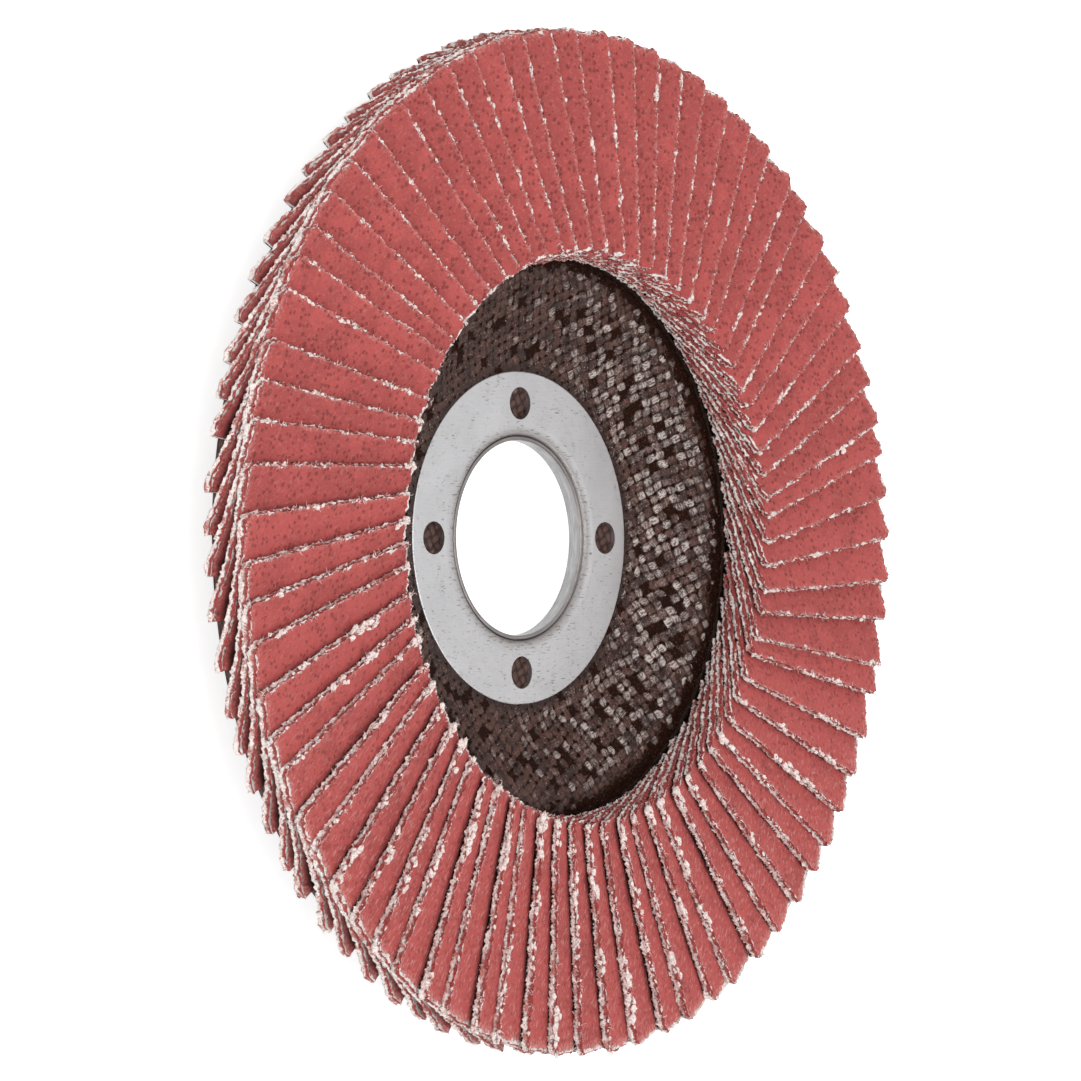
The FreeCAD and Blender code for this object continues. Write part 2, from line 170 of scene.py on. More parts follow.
def only(*objects):
    """Select just these objects and make the first one active."""
    deselect()
    for obj in objects:
        obj.select_set(True)
    bpy.context.view_layer.objects.active = objects[0]


def join(*objects):
    """Join the objects into the first one."""
    only(*objects)
    bpy.ops.object.join()


def read(items, name, width=None, kind=float):
    """A property of all vertices, edges, faces or face corners, as an array."""
    values = np.empty(len(items) * (width or 1), dtype=kind)
    items.foreach_get(name, values)
    return values.reshape(-1, width) if width else values


def corners(mesh):
    """Vertex positions."""
    return read(mesh.vertices, "co", 3)


def move_corners(mesh, places):
    mesh.vertices.foreach_set("co", places.ravel())
    mesh.update()


def edge_ends(mesh):
    """The two ends of every edge, as positions."""
    first, second = read(mesh.edges, "vertices", 2, int).T
    places = corners(mesh)
    return places[first], places[second]


def note(mesh, name, *values):
    """Three values for each vertex, which the materials read."""
    marks = mesh.attributes.new(name, "FLOAT_VECTOR", "POINT")
    marks.data.foreach_set("vector", np.stack(values, axis=1).ravel())


def edit_picked(obj, part, picked):
    """Enter edit mode with just these vertices, edges or faces selected."""
    only(obj)
    kinds = {"VERT": obj.data.vertices, "EDGE": obj.data.edges, "FACE": obj.data.polygons}
    for items in kinds.values():
        items.foreach_set("select", np.zeros(len(items), dtype=bool))
    kinds[part].foreach_set("select", np.asarray(picked, dtype=bool))
    bpy.context.tool_settings.mesh_select_mode = [kind == part for kind in kinds]
    bpy.ops.object.mode_set(mode="EDIT")


def leave_edit():
    bpy.ops.object.mode_set(mode="OBJECT")


def add_sheet(name, across, along, cells_across, cells_along):
    """Flat sheet of even cells round the origin."""
    deselect()
    bpy.ops.mesh.primitive_grid_add(x_subdivisions=cells_across, y_subdivisions=cells_along,
                                    size=1.0, location=(0, 0, 0))
    sheet = bpy.context.object
    sheet.name = name
    sheet.scale = (across, along, 1.0)
    bpy.ops.object.transform_apply(location=False, rotation=False, scale=True)
    return sheet


def weigh(obj, name, weights):
    """Vertex group with a weight for each vertex."""
    group = obj.vertex_groups.new(name=name)
    rounded = np.round(weights, 2)
    for value in np.unique(rounded):
        if value > 0.0:
            group.add(np.nonzero(rounded == value)[0].tolist(), float(value), "REPLACE")


def apply_modifiers(obj):
    only(obj)
    for modifier in list(obj.modifiers):
        bpy.ops.object.modifier_apply(modifier=modifier.name)


def rough_up(obj, name, grain_size, depth, group=""):
    """Push vertices about by a cloudy noise, in all three directions."""
    clouds = bpy.data.textures.get(name)
    if clouds is None:
        clouds = bpy.data.textures.new(name, "CLOUDS")
        clouds.noise_scale = grain_size
        clouds.cloud_type = "COLOR"
        clouds.noise_depth = 1
    push = obj.modifiers.new(name, "DISPLACE")
    push.texture = clouds
    push.texture_coords = "LOCAL"
    push.direction = "RGB_TO_XYZ"
    push.mid_level = 0.5
    push.strength = depth
    push.vertex_group = group


def unit(value):
    """Value kept between 0 and 1."""
    return np.clip(value, 0, 1)


def above(value):
    """Value kept at 0 or more."""
    return np.clip(value, 0, None)


def near(distance, fade):
    """1 at an edge, fading away from it."""
    return np.exp(-np.maximum(distance, 0) / fade)


def cut_off(radius, *to_edges):
    """How far a point lies outside the round corner between two edges."""
    return above(np.hypot(*[above(radius - far) for far in to_edges]) - radius)


def along_flap(share, inner, outer):
    """Value at this share of the way from a flap's inner end to its outer one."""
    return inner * (1 - share) + outer * share


def carry(obj, slot, *nodes):
    """Make a finished piece ride on the disc."""
    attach(obj, "root")
    if nodes:
        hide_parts(*nodes)


# ---------------------------------------------------------------------------
# Material helpers
# ---------------------------------------------------------------------------

WHITE = (1.0, 1.0, 1.0)


def shade(colour, share, lift=0.0):
    """Darker or lighter kind of a colour."""
    return tuple(min(1.0, c * share + lift) for c in colour)


class Nodes:
    """Short way to fill a node tree."""

    def __init__(self, tree):
        self.tree = tree

    def node(self, kind, inputs=None, **settings):
        made = self.tree.nodes.new("ShaderNode" + kind)
        for key, value in settings.items():
            setattr(made, key, value)
        for key, value in (inputs or {}).items():
            self.feed(made.inputs[key], value)
        return made

    def feed(self, socket, value):
        """Link a socket to another one, or give it a plain value."""
        if isinstance(value, bpy.types.NodeSocket):
            self.tree.links.new(value, socket)
        elif socket.type == "RGBA":
            socket.default_value = (*value, 1.0)
        else:
            socket.default_value = value

    def math(self, operation, first, second=0.0, third=0.0):
        return self.node("Math", {0: first, 1: second, 2: third}, operation=operation).outputs[0]

    def most(self, first, second):
        return self.math("MAXIMUM", first, second)

    def show(self, output, lit, shown):
        """Light the scene with one shader, and show the camera and reflections the other."""
        path = self.node("LightPath").outputs
        seen = self.most(path["Is Camera Ray"],
                         self.most(path["Is Glossy Ray"], path["Is Transmission Ray"]))
        pick = self.node("MixShader", {0: seen, 1: lit, 2: shown})
        self.feed(self.tree.nodes[output].inputs["Surface"], pick.outputs[0])


class Recipe(Nodes):
    """Short way to write a material. Places are Object coordinates, in metres."""

    def __init__(self, name):
        self.material = bpy.data.materials.new(name)
        self.material.use_nodes = True
        super().__init__(self.material.node_tree)
        self.shader = self.tree.nodes["Principled BSDF"]
        self.place = self.node("TexCoord").outputs["Object"]

    def add(self, first, second):
        return self.math("ADD", first, second)

    def less(self, first, second):
        return self.math("SUBTRACT", first, second)

    def times(self, first, second):
        return self.math("MULTIPLY", first, second)

    def line(self, value, slope, start):
        """Start plus slope times value."""
        return self.math("MULTIPLY_ADD", value, slope, start)

    def sway(self, start, amount, noise):
        """Start, moved up and down with a noise."""
        return self.line(self.less(noise, 0.5), amount, start)

    def smooth(self, value, low, high, to_low=0.0, to_high=1.0):
        made = self.node("MapRange", {0: value, 1: low, 2: high, 3: to_low, 4: to_high},
                         interpolation_type="SMOOTHSTEP")
        return made.outputs[0]

    def mix(self, share, first, second):
        return self.node("Mix", {0: share, 6: first, 7: second}, data_type="RGBA").outputs[2]

    def noise(self, size, detail=3.0, rough=0.55, place=None, warp=0.0):
        """Cloudy noise whose features are about this size, in millimetres."""
        made = self.node("TexNoise", {"Vector": place or self.place, "Scale": 1000.0 / size,
                                      "Detail": detail, "Roughness": rough,
                                      "Distortion": warp})
        return made.outputs["Fac"]

    def stretch(self, scale=(1.0, 1.0, 1.0), turn=0.0):
        """Place turned about Z, then scaled on each axis."""
        turned = self.node("Mapping", {"Vector": self.place, "Rotation": (0.0, 0.0, turn)})
        return self.node("Mapping", {"Vector": turned.outputs[0], "Scale": scale}).outputs[0]

    def split(self, vector):
        return self.node("SeparateXYZ", {0: vector}).outputs

    def marks(self, name):
        """The three values that a mesh attribute holds."""
        return self.split(self.node("Attribute", None, attribute_name=name).outputs["Vector"])

    def radius(self):
        """Distance from the bore's axis."""
        x, y, _ = self.split(self.place)
        squares = self.add(self.math("POWER", x, 2.0), self.math("POWER", y, 2.0))
        return self.math("SQRT", squares)

    def bump(self, height, depth):
        """Normal of a relief of this depth, in millimetres."""
        return self.node("Bump", {"Height": height, "Distance": depth * MM}).outputs[0]

    def finish(self, **inputs):
        names = {"colour": "Base Color", "roughness": "Roughness", "metal": "Metallic",
                 "normal": "Normal", "gloss": "Specular IOR Level", "sheen": "Sheen Weight"}
        for key, value in inputs.items():
            self.feed(self.shader.inputs[names[key]], value)
        return self.material


# ---------------------------------------------------------------------------
# Materials
# ---------------------------------------------------------------------------

def grain_material(settings):
    """Red abrasive face: fine grain, pits with painted shade, painted highlight streaks, pale
    fibres near an edge, painted shade under the next flap's edge, and the whole face painted
    darker towards the top.
    """
    r = Recipe("abrasive_grain")
    from_inner, from_edge, _ = r.marks("lie")
    to_outer = r.less(FLAP_LENGTH, from_inner)
    under, luck, _ = r.marks("cover")
    _, up, _ = r.split(r.place)

    mottle = r.noise(0.42, 3.0, 0.6)
    fine = r.noise(0.14, 2.0, 0.6)
    deep = shade(settings.grain, 0.82)
    # Painted shade: the face is darker towards the top of the disc (+Y) and lighter towards the
    # bottom, for how the light falls; apart from that the tone changes at random from flap to
    # flap.
    tone = r.line(up, -2.2, r.sway(r.noise(3.2, 2.0), 0.22, luck))
    colour = r.mix(r.smooth(tone, 0.36, 0.60), deep, settings.grain)
    colour = r.mix(r.smooth(mottle, 0.52, 0.72), colour, shade(settings.grain, 1.10, 0.010))
    colour = r.mix(r.smooth(mottle, 0.46, 0.30, 0.0, 0.8), colour, deep)

    # Painted shade in the pits all round, fading on the lower flaps, where painted highlights show
    # on the grain as light streaks instead.
    low_side = r.smooth(up, -12 * MM, -36 * MM)
    cells = r.node("TexVoronoi", {"Vector": r.place, "Scale": 1000.0 / 0.54}).outputs
    size = r.smooth(r.split(cells["Color"])[0], 0.20, 1.0, 0.0, 0.46)
    wobble = r.line(fine, 0.80, -0.40)
    shaded_pit = r.smooth(r.less(size, r.add(cells["Distance"], wobble)), -0.08, 0.24)
    colour = r.mix(r.times(shaded_pit, r.line(low_side, -0.40, 0.58)), colour, settings.shaded_pit)
    pink = (0.66, 0.300, 0.270)
    # Painted highlights: light pink streaks on the grain, strongest on the lower flaps.
    streaks = r.noise(0.34, 3.0, 0.6, place=r.stretch((1.0, 0.32, 1.0), 0.75))
    highlight_fleck = r.smooth(streaks, 0.55, 0.63)
    colour = r.mix(r.times(highlight_fleck, r.line(low_side, 0.38, 0.12)), colour, pink)

    # Towards the outer end and the cut edge the grain is rubbed pale.
    fast = r.noise(0.30, 3.0, 0.7)
    worn = r.line(low_side, 0.5, r.times(from_edge, 2.0))
    worn = r.math("MINIMUM", to_outer, worn)
    reach = r.line(fast, 4.6, r.line(low_side, 0.30, -1.65))
    dusty = r.smooth(r.less(reach, worn), -0.2, 0.8)
    colour = r.mix(r.times(dusty, r.line(low_side, 0.25, 0.45)), colour, pink)

    # Fibres creep in from the cut edges by a changing amount.
    creep = r.sway(r.times(r.less(fast, 0.5), 1.1), 1.7, r.noise(1.5, 2.0, 0.6))
    high_side = r.smooth(up, 6 * MM, 30 * MM)
    edge_fray = r.line(high_side, -0.09, r.line(low_side, -0.06, 0.04))
    at_edge = r.less(r.add(creep, edge_fray), from_edge)
    at_outer = r.less(r.add(creep, r.line(low_side, 0.22, 0.12)), to_outer)
    at_inner = r.less(r.add(creep, 0.14), from_inner)
    fibres = r.smooth(r.most(at_edge, r.most(at_outer, at_inner)), -0.04, 0.10)
    pale = r.mix(r.smooth(fine, 0.35, 0.7), shade(settings.fibre, 0.72), settings.fibre)
    colour = r.mix(fibres, colour, pale)

    # Painted shade on the face where it runs under the next flap's cut edge, fading near both ends
    # so the red shows in the gaps there.
    dark = r.smooth(r.sway(under, 1.2, fast), 0.30, 0.50)
    deep_in = r.smooth(r.math("MINIMUM", to_outer, from_inner), 0.5, 1.7)
    colour = r.mix(r.times(dark, deep_in), colour, settings.crevice_shade)
    height = r.less(r.line(mottle, 0.9, r.noise(0.10, 3.0, 0.7)), r.times(shaded_pit, 1.3))
    height = r.line(highlight_fleck, 0.35, r.add(height, r.times(fibres, 0.8)))
    return r.finish(colour=colour, roughness=0.82, gloss=0.28, normal=r.bump(height, 0.10))


def cut_edge_material(settings):
    """Cut edge of a flap: red grain coat above, frayed cloth below, painted shade between the
    fibres and a painted shadow at its foot.
    """
    r = Recipe("cut_cloth_edge")
    from_inner, _, ply = r.marks("lie")
    inner_end = r.smooth(from_inner, 0.35, -0.05)
    fast = r.noise(0.26, 3.0, 0.7)
    fine = r.noise(0.12, 2.0, 0.7)
    coat = r.sway(r.times(r.less(fast, 0.5), 0.8), 0.7, r.noise(1.1, 2.0, 0.6))
    coat = r.add(ply, coat)
    seam = r.less(1.0, r.math("ABSOLUTE", r.line(coat, 9.0, -6.0)))
    coat = r.smooth(r.line(inner_end, 0.10, coat), 0.62, 0.76)
    dull = (0.56, 0.225, 0.195)
    loose = r.sway(r.noise(2.2, 2.0, 0.6), 0.6, fast)
    pale = r.mix(r.smooth(loose, 0.34, 0.48), dull, settings.fibre)
    pale = r.mix(r.smooth(fast, 0.44, 0.34), pale, dull)
    red = r.mix(r.smooth(fine, 0.38, 0.60), shade(settings.grain, 0.45), settings.grain)
    red = r.mix(r.smooth(fast, 0.60, 0.72), red, (0.62, 0.33, 0.29))
    colour = r.mix(coat, pale, red)
    # Painted shade in the hollows between the fibres, stronger at the inner end, and a dark line
    # at the seam of coat and cloth.
    hollow_shade = r.smooth(r.add(fine, r.times(fast, 0.5)), 0.62, 0.48)
    hollow_shade = r.times(hollow_shade, r.line(inner_end, 0.20, 0.42))
    hollow_shade = r.most(hollow_shade, r.smooth(seam, 0.1, 0.9, 0.0, 0.5))
    # Painted shadow on the lowest part of the cut wall, by the gap under it, weaker at the outer
    # end.
    below = r.smooth(r.add(ply, r.times(r.less(fast, 0.5), 1.1)), 0.25, 0.11)
    to_outer = r.less(FLAP_LENGTH, from_inner)
    below = r.times(below, r.smooth(to_outer, 0.2, 0.7, 0.25, 1.0))
    colour = r.mix(r.most(hollow_shade, below), colour, settings.crevice_shade)
    height = r.add(fast, r.times(fine, 0.8))
    return r.finish(colour=colour, roughness=0.95, gloss=0.12, normal=r.bump(height, 0.16))


def loose_fibre_material(settings):
    """Tufts, crumbs and hairs of pale cloth fibre."""
    r = Recipe("loose_fibre")
    fast = r.noise(0.22, 3.0, 0.7)
    colour = r.mix(r.smooth(fast, 0.34, 0.54), (0.62, 0.42, 0.38), settings.fibre)
    height = r.add(fast, r.noise(0.09, 2.0, 0.7))
    return r.finish(colour=colour, roughness=0.95, gloss=0.12, sheen=0.1,
                    normal=r.bump(height, 0.12))


def cloth_back_material(settings):
    """Back of the flap cloth: a twill, painted dark, which also stands for the shade in the gap
    under each cut edge.
    """
    r = Recipe("shaded_cloth_back")
    cloth = settings.shaded_cloth_back
    wave = r.node("TexWave", {"Vector": r.stretch(turn=0.7), "Scale": 500.0, "Distortion": 1.5,
                              "Detail": 2.0, "Detail Scale": 3.0}, wave_type="BANDS")
    wave = wave.outputs["Fac"]
    colour = r.mix(r.smooth(r.noise(2.2), 0.3, 0.7), shade(cloth, 0.7), cloth)
    colour = r.mix(r.times(wave, 0.4), colour, shade(cloth, 1.7))
    height = r.add(wave, r.noise(0.3))
    return r.finish(colour=colour, roughness=0.88, gloss=0.2, normal=r.bump(height, 0.07))


def weave_height(r, settings):
    """Height of a plain weave."""
    x, y, _ = r.split(r.stretch(turn=-settings.turn))
    first, second = [r.math("SINE", r.times(way, math.pi / settings.pitch)) for way in (x, y)]
    over = r.times(first, second)
    warp = r.line(over, 0.8, r.math("ABSOLUTE", first))
    weft = r.line(over, -0.8, r.math("ABSOLUTE", second))
    return r.times(r.most(warp, weft), 0.55)


def plate_material(settings):
    """Moulded plate: resin over glass cloth, seen on the back, the rim and in the holes."""
    r = Recipe("resin_glass_cloth")
    height = weave_height(r, settings)
    fine = r.noise(0.2, 3.0, 0.6)
    # The rim shows the layers of cloth from their ends.
    rim = r.smooth(r.radius(), 54.6 * MM, 54.8 * MM)
    layers = r.noise(0.34, 3.0, 0.6, place=r.stretch((0.28, 0.28, 1.0)))
    height = r.line(rim, r.less(r.smooth(layers, 0.36, 0.62), height), height)
    wet = r.smooth(r.sway(height, 0.6, fine), 0.30, 0.80)
    colour = r.mix(wet, settings.resin, settings.soaked)
    bare = r.times(r.smooth(height, 0.70, 1.0), r.smooth(r.noise(2.6), 0.52, 0.70))
    colour = r.mix(r.times(bare, 0.25), colour, settings.yarn)
    return r.finish(colour=colour, roughness=r.line(fine, 0.3, 0.30), gloss=0.28,
                    normal=r.bump(r.line(fine, 0.12, height), 0.16))


def woven_front_material(settings):
    """Front of the plate: flat yarn crowns with filaments along them, some bare, some soaked, with
    painted glints that gather on the far slope and painted shade at the foot of the flaps.
    """
    r = Recipe("woven_front")
    height, top_yarn, luck = r.marks("crown")
    top_yarn = r.smooth(top_yarn, 0.4, 0.6)
    across, along = [r.noise(0.15, 2.0, 0.5, place=r.stretch(scale, -settings.turn))
                     for scale in ((0.10, 1.0, 1.0), (1.0, 0.10, 1.0))]
    streak = r.node("Mix", {0: top_yarn, 2: across, 3: along}, data_type="FLOAT").outputs[0]
    fine = r.noise(0.22, 3.0, 0.65)
    blotch = r.noise(2.0)

    tone = r.smooth(r.sway(blotch, 1.2, fine), 0.36, 0.62)
    soaked = r.mix(tone, shade(settings.soaked, 0.22), settings.soaked)
    soaked = r.mix(r.times(r.smooth(streak, 0.54, 0.64), 0.4), soaked,
                   shade(settings.soaked, 1.8, 0.02))
    raised = r.smooth(r.sway(height, 0.5, fine), 0.50, 0.74)
    colour = r.mix(raised, settings.resin, soaked)

    # Bare yarn shows on the crowns at random; painted highlights make it show more on the far
    # slope than on the near one, for the glints of light there.
    far_side = r.smooth(r.split(r.place)[0], -14 * MM, 24 * MM, -0.52, 0.20)
    far_side = r.line(top_yarn, -0.22, far_side)
    bare = r.sway(r.sway(r.add(luck, far_side), 1.4, blotch), 0.9, fine)
    bare = r.times(r.smooth(bare, 0.22, 1.15), r.smooth(height, 0.60, 0.86))
    bare = r.times(bare, r.smooth(streak, 0.40, 0.56, 0.12, 1.0))
    # Painted glints along the filaments.
    glint = r.times(r.smooth(streak, 0.61, 0.645), r.smooth(fine, 0.54, 0.64))
    bare = r.most(bare, r.times(glint, 0.8))
    # Resin covers the yarns by the ring; at the foot of the flaps the dark is resin and painted
    # shade under the flaps' wall.
    ragged = r.sway(r.radius(), 4 * MM, fine)
    resin_and_foot_shade = r.most(r.smooth(ragged, 20.6 * MM, 19.2 * MM),
                    r.smooth(ragged, 30.0 * MM, 31.6 * MM, 0.0, 0.6))
    colour = r.mix(r.times(bare, r.less(1.0, resin_and_foot_shade)), colour, settings.yarn)
    colour = r.mix(r.times(resin_and_foot_shade, 0.85), colour, settings.resin)
    dust = r.smooth(r.noise(0.24, 1.0, 0.5), 0.745, 0.775)
    colour = r.mix(r.times(dust, 0.8), colour, (0.46, 0.09, 0.075))
    return r.finish(colour=colour, roughness=r.line(streak, 0.40, 0.14), gloss=0.25,
                    normal=r.bump(r.line(streak, 1.5, fine), 0.07))


def weave_gap_material(settings):
    """Matt dark between the yarns, and at the foot of the flaps as resin and painted shade, with
    grain dust in it.
    """
    r = Recipe("weave_gap")
    fine = r.noise(0.20, 3.0, 0.65)
    colour = r.mix(r.smooth(fine, 0.40, 0.70), shade(settings.resin, 0.6),
                   shade(settings.resin, 2.4))
    dust = r.smooth(r.noise(0.20, 1.0, 0.5), 0.715, 0.75)
    colour = r.mix(r.times(dust, 0.5), colour, (0.40, 0.13, 0.10))
    speck = r.smooth(r.noise(0.15, 1.0, 0.5), 0.735, 0.76)
    colour = r.mix(r.times(speck, 0.6), colour, (0.30, 0.26, 0.24))
    return r.finish(colour=colour, roughness=0.7, gloss=0.07, normal=r.bump(fine, 0.12))


def ring_material(settings):
    """Rolled steel: grain along X, short scratches, dirt that gathers in them and by the bore,
    painted shade on the lip round the bore.
    """
    r = Recipe("rolled_steel")
    grain = r.noise(0.09, 3.0, 0.6, place=r.stretch((0.03, 1.0, 1.0)))
    marks = r.noise(0.15, 2.0, 0.5, place=r.stretch((0.17, 1.0, 1.0)))
    radius = r.radius()
    cloud = r.noise(5.0, 4.0, 0.6)
    patches = r.noise(3.0, 4.0, 0.65, warp=0.6)
    low_side = r.smooth(r.split(r.place)[1], 4 * MM, -14 * MM)
    by_bore = r.smooth(radius, 13.6 * MM, 12.0 * MM)
    dirty = r.most(r.smooth(patches, 0.52, 0.72), r.times(by_bore, 0.8))
    dirty = r.line(low_side, 0.22, dirty)
    scratch = r.smooth(r.line(dirty, 0.10, marks), 0.678, 0.725)
    speck = r.smooth(r.line(dirty, 0.06, r.noise(0.20, 2.0, 0.6)), 0.67, 0.72)
    # Painted shade on the lip that turns down into the bore.
    lip_shade = r.smooth(radius, 12.9 * MM, 11.6 * MM)
    colour = r.mix(r.smooth(cloud, 0.35, 0.7), shade(settings.steel, 0.93), settings.steel)
    colour = r.mix(r.times(r.smooth(grain, 0.3, 0.7), 0.16), colour,
                   shade(settings.steel, 0.72))
    for stain_and_shade, share in ((dirty, 0.13), (scratch, 0.62), (speck, 0.5), (lip_shade, 0.65)):
        colour = r.mix(r.times(stain_and_shade, share), colour, settings.dirt_and_shade)
    rough = r.line(dirty, 0.16, r.line(cloud, 0.14, 0.30))
    return r.finish(colour=colour, metal=1.0, roughness=rough,
                    normal=r.bump(r.less(grain, scratch), 0.02))


def sleeve_material(settings):
    """Drawn steel of the sleeve: dull, with lines up its wall, stains, and darker towards its rim.
    """
    r = Recipe("drawn_steel")
    lines = r.noise(0.22, 3.0, 0.6, place=r.stretch((0.10, 0.10, 1.0)))
    cloud = r.noise(2.2, 4.0, 0.65)
    rim = r.smooth(r.sway(r.split(r.place)[2], 1.2 * MM, cloud), 0.9 * MM, 2.1 * MM)
    steel = shade(settings.steel, 0.62)
    colour = r.mix(r.smooth(lines, 0.35, 0.68), shade(steel, 0.74), steel)
    colour = r.mix(r.smooth(cloud, 0.50, 0.74, 0.0, 0.5), colour, settings.dirt_and_shade)
    colour = r.mix(r.times(rim, 0.55), colour, settings.dirt_and_shade)
    return r.finish(colour=colour, metal=1.0, roughness=r.line(cloud, 0.2, 0.30),
                    normal=r.bump(lines, 0.02))


def adhesive_material(settings):
    """Cured adhesive: dark grey, lumpy, a little glossy, with grain dust on it."""
    r = Recipe("cured_adhesive")
    lump = r.noise(0.5, 4.0, 0.65)
    dust = r.smooth(r.noise(0.22, 2.0, 0.7), 0.60, 0.72)
    colour = r.mix(r.smooth(lump, 0.3, 0.7), shade(settings.adhesive, 0.5),
                   shade(settings.adhesive, 1.6))
    colour = r.mix(r.times(dust, 0.5), colour, (0.30, 0.10, 0.09))
    return r.finish(colour=colour, roughness=r.line(lump, 0.3, 0.55), gloss=0.1,
                    normal=r.bump(lump, 0.12))


# ---------------------------------------------------------------------------
# Pieces
# ---------------------------------------------------------------------------

def dress(node, material):
    """Give a CAD node a finish."""
    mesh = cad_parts[node].data
    mesh.materials.clear()
    mesh.materials.append(material)


class DISC_OT_steel(bpy.types.Operator):
    """Finish the centre ring and the bore sleeve"""
    bl_idname = "flap_disc.steel"
    bl_label = "Steel centre"

    def execute(self, context):
        settings = context.scene.flap_disc_steel
        dress("centre_ring", ring_material(settings))
        dress("bore_sleeve", sleeve_material(settings))
        return {"FINISHED"}


class DISC_OT_plate(bpy.types.Operator):
    """Finish the backing plate and lay the woven front over its hub and slope"""
    bl_idname = "flap_disc.plate"
    bl_label = "Woven plate"

    # Millimetres: the woven front's two rims, the plate's front below it, from the flat hub up
    # to the raised face, and how far the cloth stands off that front.
    inner_radius = 18.9
    outer_radius = 33.4
    hub_flat = 21.5
    annulus = 30.0
    hub_front = 1.8
    plate_face = 6.1
    bend = 0.45
    clearance = 0.17

    cells_per_yarn = 6
    seed = 7
    repeat = 160
    smooth_angle = math.radians(35)

    def plate_height(self, radius):
        """Front of the plate above the back seat, with its two soft bends."""
        slope = (self.plate_face - self.hub_front) / (self.annulus - self.hub_flat)
        rise = self.hub_front + slope * (radius - self.hub_flat)
        low = np.log1p(np.exp(-np.abs(rise - self.hub_front) / self.bend)) * self.bend
        rise = np.maximum(rise, self.hub_front) + low
        top = np.log1p(np.exp(-np.abs(rise - self.plate_face) / self.bend)) * self.bend
        return np.minimum(rise, self.plate_face) - top

    def blank(self, pitch):
        """Flat ring of cells that run with the yarns, so that crowns get straight sides."""
        cell = pitch / self.cells_per_yarn
        cells = 2 * math.ceil(self.outer_radius / cell)
        size = cells * cell * MM
        skin = add_sheet("plate_weave", size, size, cells, cells)
        far = np.hypot(*read(skin.data.polygons, "center", 3)[:, :2].T) / MM
        edit_picked(skin, "FACE", (far < self.inner_radius) | (far > self.outer_radius))
        bpy.ops.mesh.delete(type="FACE")
        leave_edit()
        return skin

    def weave(self, flat, pitch):
        """Height of the yarns, their rise with tilted crowns, the upper yarn, and the luck."""
        x, y = flat[:, 0], flat[:, 1]
        u = x / pitch + 0.13 * np.sin(y * 0.8) + 0.08 * np.sin(y * 2.3)
        v = y / pitch + 0.13 * np.sin(x * 0.7) + 0.08 * np.sin(x * 2.0)
        column, row = np.floor(u).astype(int), np.floor(v).astype(int)
        draws = np.random.default_rng(self.seed).random((self.repeat, self.repeat, 5))
        luck = draws[column % self.repeat, row % self.repeat]
        in_column = draws[column % self.repeat, 0, 3]
        in_row = draws[0, row % self.repeat, 4]
        a, b = u - column - 0.5, v - row - 0.5
        a, b = a + (luck[:, 1] - 0.5) * 0.22 * b, b + (luck[:, 3] - 0.5) * 0.22 * a
        side = np.where((column + row) % 2 == 0, 1.0, -1.0)
        # Each yarn rides over and under in turn, with flat tops and falling sides.
        warp = side * np.abs(np.cos(math.pi * b)) ** 0.9
        weft = -side * np.abs(np.cos(math.pi * a)) ** 0.55
        warp = warp - 1.5 * (np.abs(a) / (0.46 + 0.04 * in_column)) ** 10
        weft = weft - 1.5 * (np.abs(b) / (0.46 + 0.04 * in_row)) ** 10
        height = np.clip(np.maximum(warp, weft), -1.0, 1.0)
        corner = np.where(luck[:, 4] > 0.86, 0.78, 1.35)
        height = height - np.clip((np.abs(a) + np.abs(b)) / corner, 0, 1.3) ** 10
        height = np.clip(height, -1.0, 1.0)
        # Here and there a crossing is sunk in the resin.
        sunk = luck[:, 3] > 0.90
        height = np.where(sunk, np.minimum(height, -0.75 + 0.5 * luck[:, 1]), height)
        tilt = ((luck[:, 1] - 0.5) * a + (luck[:, 2] - 0.5) * b) * 2.6
        rise = height + tilt * (height > 0) + 0.5 * (luck[:, 0] - 0.5) * unit(height)
        return height, rise, warp > weft, luck

    def stand(self, flat, radius, rise, settings):
        """Lay the weave on the plate's front, along the slope's own normal."""
        # It is pressed flatter by the ring and at the foot of the flaps.
        pressed = np.interp(radius, [19.0, 20.2, 22.5, 29.5, 31.5], [0.25, 0.6, 1.0, 1.0, 0.6])
        lift = rise * settings.relief / MM * pressed + self.clearance
        step = 0.05
        lean = (self.plate_height(radius + step) - self.plate_height(radius - step)) / (2 * step)
        norm = np.sqrt(1 + lean ** 2)
        out = -lean / norm * lift
        level = flat[:, :2] @ np.array(Matrix.Rotation(settings.turn, 2)).T
        level += level / radius[:, None] * out[:, None]
        return np.column_stack([level, self.plate_height(radius) + lift / norm])

    def execute(self, context):
        settings = context.scene.flap_disc_plate
        dress("backing_plate", plate_material(settings))
        pitch = settings.pitch / MM
        skin = self.blank(pitch)
        mesh = skin.data
        flat = corners(mesh) / MM
        radius = np.hypot(flat[:, 0], flat[:, 1])
        height, rise, top_yarn, luck = self.weave(flat, pitch)
        note(mesh, "crown", (height + 1) / 2, top_yarn.astype(float), luck[:, 0])
        move_corners(mesh, self.stand(flat, radius, rise, settings) * MM)

        mesh.materials.clear()
        mesh.materials.append(woven_front_material(settings))
        mesh.materials.append(weave_gap_material(settings))
        used = read(mesh.loops, "vertex_index", kind=int).reshape(-1, 4)
        face_height, face_luck, face_radius = [values[used].mean(axis=1)
                                               for values in (height, luck[:, 2], radius)]
        # Gap finish between the yarns, and on all faces near the foot of the flaps as resin and
        # painted shade under the flaps' wall.
        gap = (face_height < -0.05) | (face_radius > 29.8 + 1.7 * face_luck)
        mesh.polygons.foreach_set("material_index", gap.astype(np.int32))
        only(skin)
        bpy.ops.object.shade_smooth_by_angle(angle=self.smooth_angle)
        carry(skin, "resin_glass_cloth")
        return {"FINISHED"}


